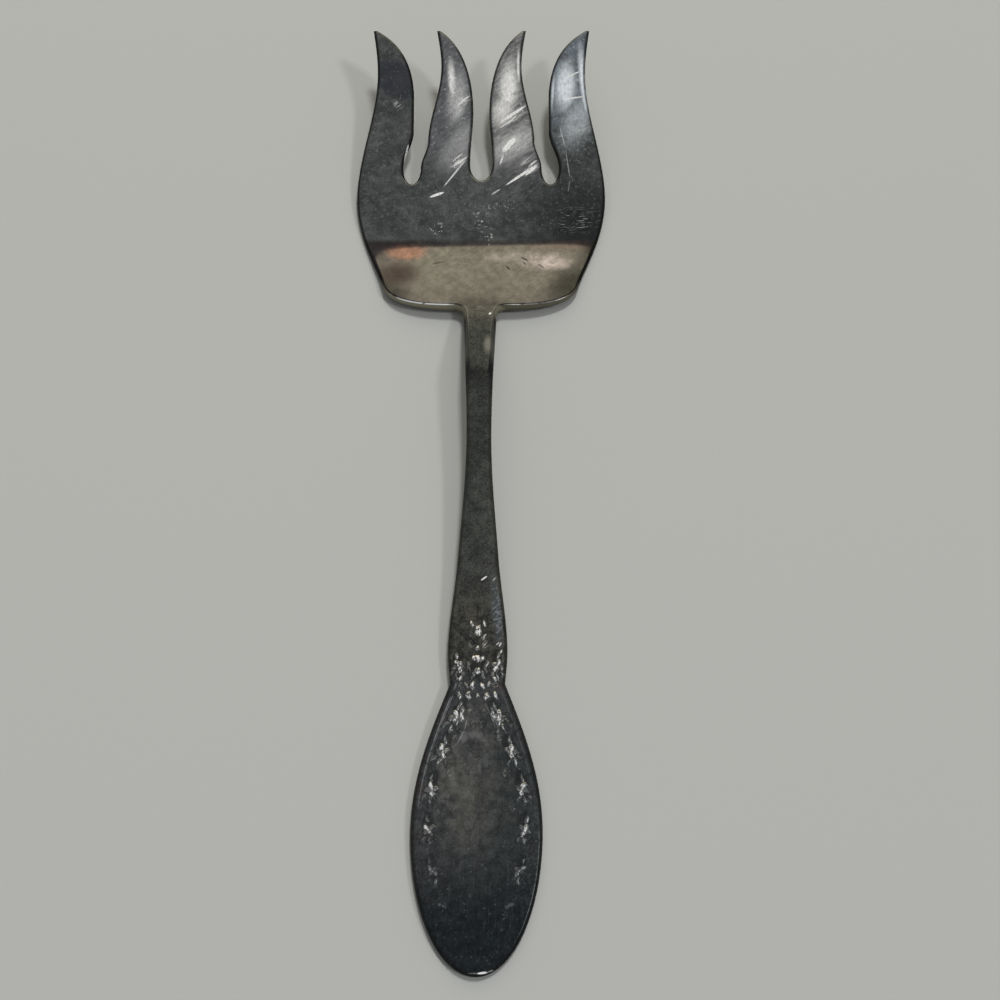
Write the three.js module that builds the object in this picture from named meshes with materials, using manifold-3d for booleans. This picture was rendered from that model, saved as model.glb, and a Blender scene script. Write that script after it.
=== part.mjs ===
// A cold meat fork: a broad head with four flame-shaped tines, a slender arched stem and an oval handle.
// Millimetres, +Z up, +Y towards the tines. The fork lies on z = 0 and the origin is below its middle.

import * as THREE from 'three';
import { mergeVertices } from 'three/addons/utils/BufferGeometryUtils.js';
import Module from 'manifold-3d';

const wasm = await Module();
wasm.setup();

// Lengths along the fork
const HANDLE_LENGTH = 55;
const STEM_LENGTH = 87.8;
const BLADE_LENGTH = 34.7;
const TINE_LENGTH = 38.5;

// Handle and stem, seen from above
const HANDLE_WIDTH = 25.7;
const HANDLE_WIDEST = 26.5;
const HANDLE_END_WIDTH = 3;
const WAIST_WIDTH = 11.2;
const SHOULDER_WIDTH = 12.2;
const SHOULDER_DISTANCE = 6.5;
const TAPER_WIDTH = 8.6;
const TAPER_DISTANCE = 26;
const STEM_WIDTH = 5.4;
const STEM_NARROWEST = 35;
const NECK_WIDTH = 7.6;
const NECK_FILLET = 2;

// Blade, seen from above
const HEEL_WIDTH = 45.6;
const HEEL_CORNER_RISE = 6.2;
const HEEL_CORNER_INSET = 1.8;
const HEAD_WIDTH = 59.8;
const HEAD_WIDEST_BELOW_ROOTS = 3;
const HEAD_SIDE_ROUNDING = 10.5;

// Tines and slots, counted outwards from the middle line
const MIDDLE_SLOT_WIDTH = 3.9;
const INNER_TINE_WIDTH = 7.9;
const SIDE_SLOT_WIDTH = 6.6;
const OUTER_TINE_WIDTH = 9;

// Rounded pockets that end the slots, and the soft barbs above the side pockets
const MIDDLE_POCKET_WIDTH = 5.4;
const MIDDLE_POCKET_RISE = 1;
const SIDE_POCKET_WIDTH = 4.2;
const SIDE_POCKET_SPACING = 33.5;
const POCKET_FLOOR_DEPTH = 4.4;
const INNER_BARB_RISE = 11;
const INNER_BARB_REACH = 1.7;
const OUTER_BARB_RISE = 13.4;

// Flame shape of the tines, measured down from the tips
const INNER_WAIST_DROP = 8.7;
const OUTER_WAIST_DROP = 10.5;
const INNER_BELLY_DROP = 20;
const OUTER_BELLY_DROP = 17;
const FLAME_SWEEP = 3.2;
const TIP_LEAN = 1.1;
const TIP_WIDTH = 0.7;

// Thickness of the metal
const HANDLE_THICKNESS = 2;
const WAIST_THICKNESS = 2.4;
const STEM_THICKNESS = 3.1;
const BLADE_THICKNESS = 1.6;
const TIP_THICKNESS = 1;
const EDGE_RADIUS = 0.9;

// Side view: height of the top face above the table
const WAIST_HEIGHT = 2.9;
const TAPER_HEIGHT = 5.1;
const CREST_HEIGHT = 8.8;
const CREST_BEFORE_HEEL = 20;
const NECK_HEIGHT = 6.1;
const NECK_BEFORE_HEEL = 8;
const HEEL_HEIGHT = 3.6;
const HEEL_RAMP = 18;
const TINE_MIDDLE_HEIGHT = 7.2;
const TIP_HEIGHT = 12.8;
const HANDLE_REST_LENGTH = 16;
const BLADE_REST_LENGTH = 8;

// How finely the curved faces are cut into flats
const CORNER_STEPS = 2;
const OVAL_STEPS = 14;
const STEM_STEPS = 40;
const FILLET_STEPS = 4;
const OUTLINE_STEPS = 8;
const ROW_SPACING = 2.5;
const CUT_MARGIN = 1;

// Places along the fork
const length = HANDLE_LENGTH + STEM_LENGTH + BLADE_LENGTH + TINE_LENGTH;
const endY = -length / 2;
const handleRestEndY = endY + HANDLE_REST_LENGTH;
const waistY = endY + HANDLE_LENGTH;
const heelY = waistY + STEM_LENGTH;
const bladeRestStartY = heelY + HEEL_RAMP;
const bladeRestEndY = bladeRestStartY + BLADE_REST_LENGTH;
const rootY = heelY + BLADE_LENGTH;
const tipY = rootY + TINE_LENGTH;

// Where the stem's fillets end and the heel begins to curve
const heelFlatX = NECK_WIDTH / 2 + NECK_FILLET;

// A smooth curve through points [y, value] that never swings past them.
function smoothCurve(points) {
  const secants = points.slice(1).map(([y, value], i) => (value - points[i][1]) / (y - points[i][0]));
  const slopes = points.map((point, i) => {
    const before = secants[Math.max(i - 1, 0)];
    const after = secants[Math.min(i, secants.length - 1)];
    return before * after > 0 ? (2 * before * after) / (before + after) : 0;
  });
  return (y) => {
    const next = points.findIndex((point) => point[0] > y);
    const i = next < 0 ? points.length - 2 : Math.max(next - 1, 0);
    const span = points[i + 1][0] - points[i][0];
    const t = (y - points[i][0]) / span;
    const ease = t * t * (3 - 2 * t);
    const leaving = slopes[i] * span * t * (1 - t) * (1 - t);
    const arriving = slopes[i + 1] * span * t * t * (t - 1);
    return points[i][1] + (points[i + 1][1] - points[i][1]) * ease + leaving + arriving;
  };
}

// Top face, seen from the side. It is level where the handle and the blade rest on the table.
const topHeight = smoothCurve([
  [endY, HANDLE_THICKNESS],
  [handleRestEndY, HANDLE_THICKNESS],
  [waistY, WAIST_HEIGHT],
  [waistY + TAPER_DISTANCE, TAPER_HEIGHT],
  [heelY - CREST_BEFORE_HEEL, CREST_HEIGHT],
  [heelY - NECK_BEFORE_HEEL, NECK_HEIGHT],
  [heelY, HEEL_HEIGHT],
  [bladeRestStartY, BLADE_THICKNESS],
  [bladeRestEndY, BLADE_THICKNESS],
  [(rootY + tipY) / 2, TINE_MIDDLE_HEIGHT],
  [tipY, TIP_HEIGHT],
]);

// Thickness of the handle and stem.
const barThickness = smoothCurve([
  [endY, HANDLE_THICKNESS],
  [handleRestEndY, HANDLE_THICKNESS],
  [waistY, WAIST_THICKNESS],
  [waistY + TAPER_DISTANCE, STEM_THICKNESS],
  [heelY, STEM_THICKNESS],
]);

// Thickness of the blade and tines, before the heel is thickened.
const sheetThickness = smoothCurve([
  [heelY, BLADE_THICKNESS],
  [bladeRestEndY, BLADE_THICKNESS],
  [tipY, TIP_THICKNESS],
]);

// Width of the stem from the waist to the heel fillets.
const stemWidth = smoothCurve([
  [waistY, WAIST_WIDTH],
  [waistY + SHOULDER_DISTANCE, SHOULDER_WIDTH],
  [waistY + TAPER_DISTANCE, TAPER_WIDTH],
  [heelY - STEM_NARROWEST, STEM_WIDTH],
  [heelY - NECK_FILLET, NECK_WIDTH],
]);

// One cross-section of the handle or stem: a rounded rectangle standing in the plane at y.
function barSection(y, width) {
  const top = topHeight(y);
  const bottom = top - barThickness(y);
  const radius = Math.min(EDGE_RADIUS, width / 2, barThickness(y) / 2);
  const right = width / 2 - radius;
  const section = new THREE.Path();
  section.absarc(right, bottom + radius, radius, -Math.PI / 2, 0, false);
  section.absarc(right, top - radius, radius, 0, Math.PI / 2, false);
  section.absarc(-right, top - radius, radius, Math.PI / 2, Math.PI, false);
  section.absarc(-right, bottom + radius, radius, Math.PI, Math.PI * 1.5, false);
  return section.getPoints(CORNER_STEPS).map((point) => new THREE.Vector3(point.x, y, point.y));
}

// A closed bar through a row of cross-sections that have equally many points.
function loft(sections) {
  const count = sections[0].length;
  const last = (sections.length - 1) * count;
  const index = [];
  for (let ring = 0; ring < sections.length - 1; ring += 1) {
    for (let i = 0; i < count; i += 1) {
      const a = ring * count + i;
      const b = ring * count + ((i + 1) % count);
      index.push(a, a + count, b);
      index.push(b, a + count, b + count);
    }
  }
  for (let i = 1; i < count - 1; i += 1) {
    index.push(0, i, i + 1);
    index.push(last, last + i + 1, last + i);
  }
  const geometry = new THREE.BufferGeometry().setFromPoints(sections.flat());
  geometry.setIndex(index);
  return geometry;
}

// The handle is half an ellipse at its end, then a cosine that draws it in to the waist.
function handleGeometry() {
  const sections = [];
  const startAngle = Math.asin(HANDLE_END_WIDTH / HANDLE_WIDTH);
  for (let step = 0; step < OVAL_STEPS; step += 1) {
    const angle = startAngle + (Math.PI / 2 - startAngle) * (step / OVAL_STEPS);
    const y = endY + HANDLE_WIDEST * (1 - Math.cos(angle) / Math.cos(startAngle));
    sections.push(barSection(y, HANDLE_WIDTH * Math.sin(angle)));
  }
  for (let step = 0; step <= OVAL_STEPS; step += 1) {
    const share = step / OVAL_STEPS;
    const y = endY + HANDLE_WIDEST + (HANDLE_LENGTH - HANDLE_WIDEST) * share;
    const swell = Math.cos((Math.PI / 2) * share);
    sections.push(barSection(y, WAIST_WIDTH + (HANDLE_WIDTH - WAIST_WIDTH) * swell));
  }
  return loft(sections);
}

// The stem runs from the waist to the heel, where quarter-round fillets spread it along the heel's wall.
function stemGeometry() {
  const sections = [];
  for (let step = 0; step <= STEM_STEPS; step += 1) {
    const y = waistY + (STEM_LENGTH - NECK_FILLET) * (step / STEM_STEPS);
    sections.push(barSection(y, stemWidth(y)));
  }
  for (let step = 1; step <= FILLET_STEPS; step += 1) {
    const angle = (Math.PI / 2) * (step / FILLET_STEPS);
    const y = heelY - NECK_FILLET * (1 - Math.sin(angle));
    sections.push(barSection(y, NECK_WIDTH + 2 * NECK_FILLET * (1 - Math.cos(angle))));
  }
  return loft(sections);
}

// Carries an outline to (x, y), with both ends of the new stretch running along the fork.
function sweepTo(path, x, y) {
  const from = path.currentPoint.clone();
  const reach = (y - from.y) / 3;
  path.bezierCurveTo(from.x, from.y + reach, x, y - reach, x, y);
}

// Outline of one flame: up its outer side to the leaning tip, across the tip and down its inner side.
function flame(path, hollowX, hollowY, bellyX, bellyY) {
  const rise = tipY - hollowY;
  const tipX = hollowX + TIP_LEAN;
  sweepTo(path, hollowX, hollowY);
  path.bezierCurveTo(hollowX, hollowY + rise / 3, tipX - TIP_LEAN / 2, tipY - rise / 3, tipX, tipY);
  path.lineTo(tipX - TIP_WIDTH, tipY);
  path.bezierCurveTo(bellyX + FLAME_SWEEP, tipY - FLAME_SWEEP, bellyX, (tipY + bellyY) / 2, bellyX, bellyY);
}

// Right half of the head's outline, from the middle of the heel round to the floor of the middle slot.
function headHalfOutline() {
  const heelX = HEEL_WIDTH / 2;
  const sideX = HEAD_WIDTH / 2;
  const cornerY = heelY + HEEL_CORNER_RISE;
  const widestY = rootY - HEAD_WIDEST_BELOW_ROOTS;
  const innerBellyX = MIDDLE_SLOT_WIDTH / 2;
  const innerHollowX = innerBellyX + INNER_TINE_WIDTH;
  const outerBellyX = innerHollowX + SIDE_SLOT_WIDTH;
  const outerHollowX = outerBellyX + OUTER_TINE_WIDTH;
  const pocketX = SIDE_POCKET_SPACING / 2;
  const pocketInnerX = pocketX - SIDE_POCKET_WIDTH / 2;
  const pocketOuterX = pocketX + SIDE_POCKET_WIDTH / 2;
  const pocketY = rootY + POCKET_FLOOR_DEPTH;
  const outerBarbY = rootY + OUTER_BARB_RISE;
  const innerBarbY = rootY + INNER_BARB_RISE;
  const middlePocketY = rootY + MIDDLE_POCKET_RISE + POCKET_FLOOR_DEPTH;
  const path = new THREE.Path();

  // Heel, its corner and the side of the blade
  path.moveTo(0, heelY);
  path.lineTo(heelFlatX, heelY);
  path.quadraticCurveTo(heelX - HEEL_CORNER_INSET, heelY, heelX, cornerY);
  path.bezierCurveTo(
    heelX + HEEL_CORNER_INSET, cornerY + HEEL_CORNER_RISE,
    sideX, widestY - HEAD_SIDE_ROUNDING,
    sideX, widestY,
  );

  // Outer tine, down to its barb
  flame(path, outerHollowX, tipY - OUTER_WAIST_DROP, outerBellyX, tipY - OUTER_BELLY_DROP);
  path.lineTo(outerBellyX, outerBarbY);

  // Side pocket
  sweepTo(path, pocketOuterX, pocketY);
  path.absellipse(pocketX, pocketY, SIDE_POCKET_WIDTH / 2, POCKET_FLOOR_DEPTH, 0, Math.PI, true);
  sweepTo(path, pocketInnerX - INNER_BARB_REACH, innerBarbY);

  // Inner tine and the middle slot
  flame(path, innerHollowX, tipY - INNER_WAIST_DROP, innerBellyX, tipY - INNER_BELLY_DROP);
  sweepTo(path, MIDDLE_POCKET_WIDTH / 2, middlePocketY);
  path.absellipse(0, middlePocketY, MIDDLE_POCKET_WIDTH / 2, POCKET_FLOOR_DEPTH, 0, -Math.PI / 2, true);
  return path.getPoints(OUTLINE_STEPS);
}

// Depth that the heel's underside gains near the stem, fading towards the corners and the tines.
function heelDepth(x, y) {
  const across = THREE.MathUtils.clamp((Math.abs(x) - heelFlatX) / (HEEL_WIDTH / 2 - heelFlatX), 0, 1);
  const along = THREE.MathUtils.clamp((y - heelY) / HEEL_RAMP, 0, 1);
  return (STEM_THICKNESS - BLADE_THICKNESS) * (1 - across) * (1 - along) ** 2;
}

// Evenly spaced places from one y up to, but not including, the next.
function rowsBetween(from, to) {
  const count = Math.ceil((to - from) / ROW_SPACING);
  return Array.from({ length: count }, (unused, i) => from + ((to - from) * i) / count);
}

// Bent sheet of metal, wider and longer than the head, whose faces are the head's top and underside.
function sheetGeometry() {
  const edge = HEAD_WIDTH / 2 + CUT_MARGIN;
  const columns = [-edge, -HEEL_WIDTH / 2, -heelFlatX, heelFlatX, HEEL_WIDTH / 2, edge];
  const rows = [
    ...rowsBetween(heelY - CUT_MARGIN, heelY),
    ...rowsBetween(heelY, bladeRestStartY),
    ...rowsBetween(bladeRestStartY, bladeRestEndY),
    ...rowsBetween(bladeRestEndY, tipY),
    tipY,
    tipY + CUT_MARGIN,
  ];
  const sections = rows.map((y) => {
    const top = topHeight(y);
    const under = columns.map((x) => new THREE.Vector3(x, y, top - sheetThickness(y) - heelDepth(x, y)));
    const over = columns.map((x) => new THREE.Vector3(x, y, top)).reverse();
    return [...under, ...over];
  });
  return loft(sections);
}

// Closed geometry to a solid that can be cut, and back.
function solidOf(geometry) {
  geometry.deleteAttribute('normal');
  geometry.deleteAttribute('uv');
  const merged = mergeVertices(geometry);
  const vertProperties = new Float32Array(merged.attributes.position.array);
  const triVerts = new Uint32Array(merged.index.array);
  return new wasm.Manifold(new wasm.Mesh({ numProp: 3, vertProperties, triVerts }));
}

function geometryOf(solid) {
  const mesh = solid.getMesh();
  const geometry = new THREE.BufferGeometry();
  geometry.setAttribute('position', new THREE.BufferAttribute(mesh.vertProperties, 3));
  geometry.setIndex(new THREE.BufferAttribute(mesh.triVerts, 1));
  return geometry;
}

// The head is the bent sheet, cut to the outline of the blade and its tines.
function headGeometry() {
  const right = headHalfOutline();
  const left = right.slice(1, -1).reverse().map((point) => new THREE.Vector2(-point.x, point.y));
  const outline = new THREE.Shape([...right, ...left]);
  const depth = TIP_HEIGHT + CREST_HEIGHT;
  const cutter = new THREE.ExtrudeGeometry(outline, { depth, bevelEnabled: false });
  cutter.translate(0, 0, -CUT_MARGIN);
  return geometryOf(solidOf(sheetGeometry()).intersect(solidOf(cutter)));
}

function piece(name, geometry, color, roughness) {
  geometry.computeVertexNormals();
  const material = new THREE.MeshStandardMaterial({ color, roughness, metalness: 1 });
  const mesh = new THREE.Mesh(geometry, material);
  mesh.name = name;
  return mesh;
}

const fork = new THREE.Group();
fork.add(piece('fork_head', headGeometry(), '#4b4a4b', 0.35));
fork.add(piece('stem', stemGeometry(), '#454541', 0.4));
fork.add(piece('handle', handleGeometry(), '#3b3b3b', 0.4));

export default fork;
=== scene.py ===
import math

import bpy
import numpy as np
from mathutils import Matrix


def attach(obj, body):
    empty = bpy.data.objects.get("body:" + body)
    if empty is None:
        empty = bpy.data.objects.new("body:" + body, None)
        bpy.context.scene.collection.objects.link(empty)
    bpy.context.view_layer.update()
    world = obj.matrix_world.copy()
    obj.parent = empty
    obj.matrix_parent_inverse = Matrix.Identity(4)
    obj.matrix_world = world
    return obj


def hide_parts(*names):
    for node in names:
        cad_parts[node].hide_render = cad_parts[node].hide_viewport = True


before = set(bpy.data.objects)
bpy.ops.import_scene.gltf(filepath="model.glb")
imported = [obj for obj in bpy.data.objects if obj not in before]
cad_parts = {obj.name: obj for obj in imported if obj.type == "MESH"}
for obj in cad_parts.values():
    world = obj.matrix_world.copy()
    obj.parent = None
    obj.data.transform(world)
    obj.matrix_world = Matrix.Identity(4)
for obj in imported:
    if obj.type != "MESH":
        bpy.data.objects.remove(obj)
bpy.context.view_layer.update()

# Handle
# The flat oval for the hand, struck with the rest of the fork from one strip of nickel silver, then plated.
# A die pressed blossoms, beads and thin lines into its face. The plating is nearly black with tarnish, and
# handling has worn the border away towards the end.

MM = 0.001
END_Y = -108.0
OVAL_Y = -81.5
WAIST_Y = -53.0
SHOULDER_Y = -46.5
TAPER_Y = -27.0
OVAL_HALF_WIDTH = 12.85
WAIST_HALF_WIDTH = 5.6
SHOULDER_HALF_WIDTH = 6.1
HANDLE_REST_Y = -92.0
HANDLE_THICKNESS = 2.0
WAIST_THICKNESS = 2.4
WAIST_TOP = 2.9
TAPER_TOP = 5.1
STEM_THICKNESS = 3.1
HANDLE_EDGE = 1.0
WAIST_CROWN = 0.12
RIM_LINE_INSET = 1.3
LINE_HALF_WIDTH = 0.36
LINE_RISE = 0.09
RING_HALF_WIDTH = 0.26
RING_RISE = 0.10
HOOD_RISE = 0.055
SLOPE_STEP = 0.1


def smooth_curve(points):
    """Monotone cubic through (y, value) points. A slope is the harmonic mean of the chords on its two sides,
    or zero where the values turn."""
    places, values = np.array(points, float).T
    chords = np.diff(values) / np.diff(places)
    before = np.concatenate([chords[:1], chords])
    after = np.concatenate([chords, chords[-1:]])
    onward = before * after > 0
    slopes = np.where(onward, 2 * before * after / np.where(onward, before + after, 1), 0)

    def curve(y):
        i = np.clip(np.searchsorted(places, y, side="right") - 1, 0, len(places) - 2)
        span = places[i + 1] - places[i]
        t = (y - places[i]) / span
        ease = t * t * (3 - 2 * t)
        leaving = slopes[i] * span * t * (1 - t) ** 2
        arriving = slopes[i + 1] * span * t * t * (t - 1)
        return values[i] + (values[i + 1] - values[i]) * ease + leaving + arriving

    return curve


def oval_half_width(y):
    """Half an ellipse from the end to the widest place, then a quarter cosine drawn in to the waist."""
    end_share = np.clip((OVAL_Y - y) / (OVAL_Y - END_Y), 0, 1)
    waist_share = np.clip((y - OVAL_Y) / (WAIST_Y - OVAL_Y), 0, 1)
    swell = np.cos(np.pi / 2 * waist_share)
    drawn_in = WAIST_HALF_WIDTH + (OVAL_HALF_WIDTH - WAIST_HALF_WIDTH) * swell
    return np.where(y < OVAL_Y, OVAL_HALF_WIDTH * np.sqrt(1 - end_share ** 2), drawn_in)


def edge_distance(outline, x, y):
    """Shortest distance from points, folded to the right half, to the straight pieces of its outline."""
    nearest = np.full(x.shape, np.inf)
    across = np.abs(x)
    for (ax, ay), (bx, by) in zip(outline[:-1], outline[1:]):
        dx, dy = bx - ax, by - ay
        t = np.clip(((across - ax) * dx + (y - ay) * dy) / max(dx * dx + dy * dy, 1e-12), 0, 1)
        nearest = np.minimum(nearest, np.hypot(across - ax - t * dx, y - ay - t * dy))
    return nearest


def edge_fall(distance, reach):
    """Share of half the thickness lost at a rounded edge: a quarter ellipse, 1 at the outline, 0 inside."""
    inward = np.clip(distance / reach, 0, 1)
    return 1 - np.sqrt(1 - (1 - inward) ** 2)


def domes(x, y, motifs):
    """Height of pressed domes, of which the highest counts: a paraboloid over an ellipse turned by its angle,
    with its rise in the middle and 0 at the rim."""
    height = np.zeros_like(x)
    for middle_x, middle_y, half_length, half_width, angle, rise in motifs:
        dx, dy = x - middle_x, y - middle_y
        along = (dx * math.sin(angle) + dy * math.cos(angle)) / half_length
        across = (dx * math.cos(angle) - dy * math.sin(angle)) / half_width
        height = np.maximum(height, rise * np.clip(1 - along ** 2 - across ** 2, 0, None))
    return height


def blossom(x, y, size, lean, rise):
    """A bell of four uneven petals about a bead, a low pointed hood above it and a spray of four leaves."""
    hood_x, hood_y = x + 1.3 * size * math.sin(lean), y + 1.3 * size * math.cos(lean)
    hood = (hood_x, hood_y, 2.4 * size, 1.2 * size, lean, HOOD_RISE)
    bead = (x, y, 0.36 * size, 0.36 * size, 0, 1.1 * rise)
    motifs = [hood, bead]
    for petal, share in enumerate((1.0, 0.62, 0.9, 0.72)):
        angle = lean + math.pi / 2 * petal + 0.5
        out_x, out_y = 0.66 * size * math.sin(angle), 0.66 * size * math.cos(angle)
        motifs.append((x + out_x, y + out_y, 0.78 * size, 0.60 * size, angle, rise * share))
    for turn, share in ((0.15, 0.7), (math.pi - 0.6, 0.5), (math.pi, 0.72), (math.pi + 0.6, 0.45)):
        angle = lean + turn
        out_x, out_y = 1.9 * size * math.sin(angle), 1.9 * size * math.cos(angle)
        motifs.append((x + out_x, y + out_y, 1.1 * size, 0.36 * size, angle, rise * share))
    return motifs


# The border's motifs for the right half, from the stem's small palmette down to the handle's end. A single
# dome has its middle, half length, half width, angle and rise; a blossom its middle, size, lean and rise.
border = [
    (0, -38.6, 2.2, 0.35, 0, 0.05), (1.25, -40.9, 0.62, 0.55, 0, 0.24),
    (0.15, -42.4, 1.35, 0.75, 0.2, 0.27), (1.25, -43.6, 1.5, 0.32, 0.45, 0.13),
    (1.5, -45.4, 0.9, 0.3, 0.7, 0.14), (0, -45.9, 0.7, 0.62, 0, 0.25),
    (0, -49.4, 3.0, 1.5, 0, 0.06), (0.1, -48.1, 0.75, 0.6, 0, 0.30),
    (0.85, -48.0, 0.7, 0.5, 0.2, 0.27), (0.1, -50.5, 0.9, 0.5, 0, 0.27),
    (1.75, -49.6, 1.9, 0.45, 0.14, 0.15), (1.0, -51.3, 1.0, 0.42, -0.35, 0.18),
    (1.0, -53.6, 1.0, 0.6, -0.4, 0.26), (2.3, -53.4, 0.8, 0.42, 0.5, 0.18),
    (3.35, -52.0, 0.8, 0.5, -0.5, 0.24), (0, -55.5, 0.6, 0.6, 0, 0.22),
    (1.8, -55.6, 0.9, 0.66, 0.3, 0.28), (3.55, -55.5, 0.85, 0.6, -0.2, 0.28),
    (3.1, -59.4, 2.1, 0.5, -0.2, 0.25),
]
for x, y, size, lean, rise in (
    (4.0, -49.5, 1.05, -0.05, 0.27), (4.3, -60.0, 1.2, -0.45, 0.27), (6.8, -66.6, 1.15, -0.35, 0.26),
    (8.9, -73.9, 1.1, -0.18, 0.25), (9.3, -81.6, 1.05, 0.05, 0.23), (8.3, -89.2, 1.0, 0.25, 0.18),
    (6.3, -95.5, 0.9, 0.5, 0.11), (4.1, -99.8, 0.8, 0.8, 0.09),
):
    border += blossom(x, y, size, lean, rise)
RINGS = (
    (1.45, -45.1, 0.58), (3.5, -53.5, 0.4), (1.4, -59.0, 0.42), (0.9, -61.3, 0.4),
    (4.3, -64.1, 0.42), (5.5, -70.8, 0.4), (6.7, -77.5, 0.36),
)
FIELD_Y, FIELD_HALF_LENGTH, FIELD_HALF_WIDTH = -79.4, 22.0, 8.0
arch = smooth_curve([
    (-101.5, 0), (-97, 3.4), (-89, 6.0), (-81.5, 6.9), (-74, 6.5), (-68.5, 5.5), (-62, 3.0), (-57.4, 0),
])
line_wear = smooth_curve([
    (END_Y, 0), (-92, 0.1), (-80, 0.6), (-64, 1), (-56, 1), (WAIST_Y, 0), (SHOULDER_Y, 0),
])


def border_relief(x, y, edge):
    """Height in mm of the struck border, and of its motifs alone: the highest of the domes, rings and lines.
    The hand-cut die wavers by sums of sines."""
    across = np.abs(x) + 0.14 * np.sin(1.9 * y + 1.1 * x) + 0.07 * np.sin(4.3 * y - 2.7 * x)
    motifs = domes(across, y + 0.14 * np.sin(2.3 * x - 1.3 * y), border)
    for ring_x, ring_y, radius in RINGS:
        off_ring = (np.hypot(across - ring_x, y - ring_y) - radius) / RING_HALF_WIDTH
        motifs = np.maximum(motifs, RING_RISE * np.clip(1 - off_ring ** 2, 0, None))
    rim_line = np.clip(1 - ((edge - RIM_LINE_INSET) / LINE_HALF_WIDTH) ** 2, 0, None)
    lean = (arch(y + SLOPE_STEP / 2) - arch(y - SLOPE_STEP / 2)) / SLOPE_STEP
    off_arch = (across - arch(y)) / np.sqrt(1 + lean ** 2) / LINE_HALF_WIDTH
    arch_line = np.where(np.abs(y - FIELD_Y) < FIELD_HALF_LENGTH, np.clip(1 - off_arch ** 2, 0, None), 0)
    lines = LINE_RISE * np.maximum(rim_line, 0.7 * arch_line) * np.clip(line_wear(y), 0, None)
    return np.maximum(motifs, lines), motifs


def cap(ring):
    """Flat end of a bar: a fan from the middle of the ring of points round it."""
    closed = np.concatenate([ring, ring[:1]])
    return np.stack([np.broadcast_to(ring.mean(0), closed.shape), closed])


def metal_piece(name, grids, joints):
    """One closed mesh of several grids, merged where they meet and sharp round its flat joints. Each grid
    holds x, y and z in mm, the distance to the edge, the height of the relief, and 1 on the face."""
    faces, start = [], 0
    for grid in grids:
        rows, columns = grid.shape[:2]
        index = start + np.arange(rows * columns).reshape(rows, columns)
        near_left, near_right = index[:-1, :-1], index[:-1, 1:]
        far_left, far_right = index[1:, :-1], index[1:, 1:]
        faces.append(np.stack([near_left, near_right, far_right], -1).reshape(-1, 3))
        faces.append(np.stack([near_left, far_right, far_left], -1).reshape(-1, 3))
        start += rows * columns
    points = np.concatenate([grid.reshape(-1, 6) for grid in grids])
    rounded = np.round(points[:, :3], 5)
    _, first, merged = np.unique(rounded, axis=0, return_index=True, return_inverse=True)
    faces = merged.ravel()[np.concatenate(faces)]
    a, b, c = faces.T
    faces = faces[(a != b) & (b != c) & (c != a)]
    points = points[first]
    mesh = bpy.data.meshes.new(name)
    mesh.from_pydata(points[:, :3] * MM, [], faces)
    mesh.polygons.foreach_set("use_smooth", np.ones(len(mesh.polygons), bool))
    ends = np.zeros(len(mesh.edges) * 2, np.int32)
    mesh.edges.foreach_get("vertices", ends)
    ends_y = points[ends, 1].reshape(-1, 2)
    sharp = np.zeros(len(mesh.edges), bool)
    for joint_y in joints:
        sharp |= np.all(np.abs(ends_y - joint_y) < 1e-6, axis=1)
    mesh.attributes.new("sharp_edge", "BOOLEAN", "EDGE").data.foreach_set("value", sharp)
    for column, label in ((3, "edge"), (4, "relief"), (5, "face")):
        values = points[:, column].astype(np.float32)
        mesh.attributes.new(label, "FLOAT", "POINT").data.foreach_set("value", values)
    piece = bpy.data.objects.new(name, mesh)
    bpy.context.scene.collection.objects.link(piece)
    return piece


def struck_bar(rows, half_width, half_columns, outline, lines, face):
    """Rows along a bar by shares of its width. The face is the top line less a crown that grows with the
    share squared and less the rounded edge, plus the border; the underside is plain."""
    top_line, thickness_line, crown_line, edge_line = lines
    columns = np.concatenate([-half_columns[:0:-1], half_columns])
    y, share = np.meshgrid(rows, columns, indexing="ij")
    x = half_width(y) * share
    edge = edge_distance(outline, x, y)
    edge[np.abs(share) == 1] = 0
    thickness = thickness_line(y)
    fall = edge_fall(edge, edge_line(y)) * thickness / 2
    relief, motifs = border_relief(x, y, edge)
    crown = crown_line(y) * share ** 2
    top = top_line(y) - crown - fall * (1 - 2 * crown / thickness) + relief
    under = top_line(y) - thickness + fall
    grid = np.stack([x, y, top if face else under, edge, motifs * face, np.full_like(x, face)], -1)
    return grid if face else grid[:, ::-1]


handle_top = smooth_curve([
    (END_Y, HANDLE_THICKNESS), (HANDLE_REST_Y, HANDLE_THICKNESS),
    (WAIST_Y, WAIST_TOP), (TAPER_Y, TAPER_TOP),
])
handle_thickness = smooth_curve([
    (END_Y, HANDLE_THICKNESS), (HANDLE_REST_Y, HANDLE_THICKNESS),
    (WAIST_Y, WAIST_THICKNESS), (TAPER_Y, STEM_THICKNESS),
])
handle_crown = smooth_curve([(END_Y, WAIST_CROWN), (WAIST_Y, WAIST_CROWN)])
handle_edge_reach = smooth_curve([(END_Y, HANDLE_EDGE), (WAIST_Y, HANDLE_EDGE)])
handle_lines = handle_top, handle_thickness, handle_crown, handle_edge_reach

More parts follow.
